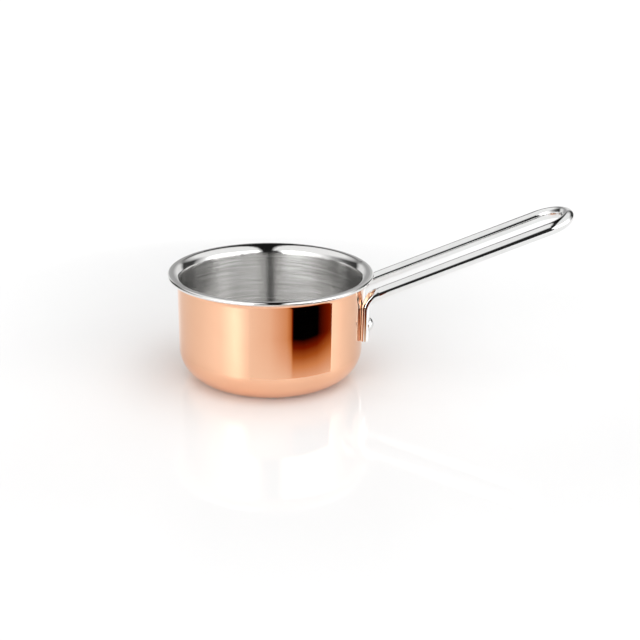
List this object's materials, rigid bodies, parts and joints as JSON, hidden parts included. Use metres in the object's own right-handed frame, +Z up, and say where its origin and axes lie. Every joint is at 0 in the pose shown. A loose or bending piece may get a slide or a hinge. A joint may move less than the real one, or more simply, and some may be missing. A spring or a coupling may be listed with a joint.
{
  "type": "small saucepan with wire loop handle",
  "caption": "Small round copper saucepan with a stainless steel inside, a flared steel rim and a long riveted wire loop handle.",
  "frame": {"origin": "centre of the underside of the base, on the bowl's axis", "axes": "+Z up along the bowl's axis, +X from the bowl along the handle, +Y to the right for a person who holds the handle"},
  "size_m": [0.2022, 0.1036, 0.0852],
  "materials": {
    "copper": "polished copper",
    "aluminium": "plain, hidden inside the wall",
    "brushed_steel": "brushed inside, polished rim",
    "polished_steel": "polished stainless steel",
    "rivet_steel": "polished stainless steel"
  },
  "bodies": {
    "root": {"copper_skin": "copper", "aluminium_core": "aluminium", "steel_liner": "brushed_steel", "loop_handle": "polished_steel", "rivet_left": "rivet_steel", "rivet_right": "rivet_steel"}
  },
  "joints": []
}
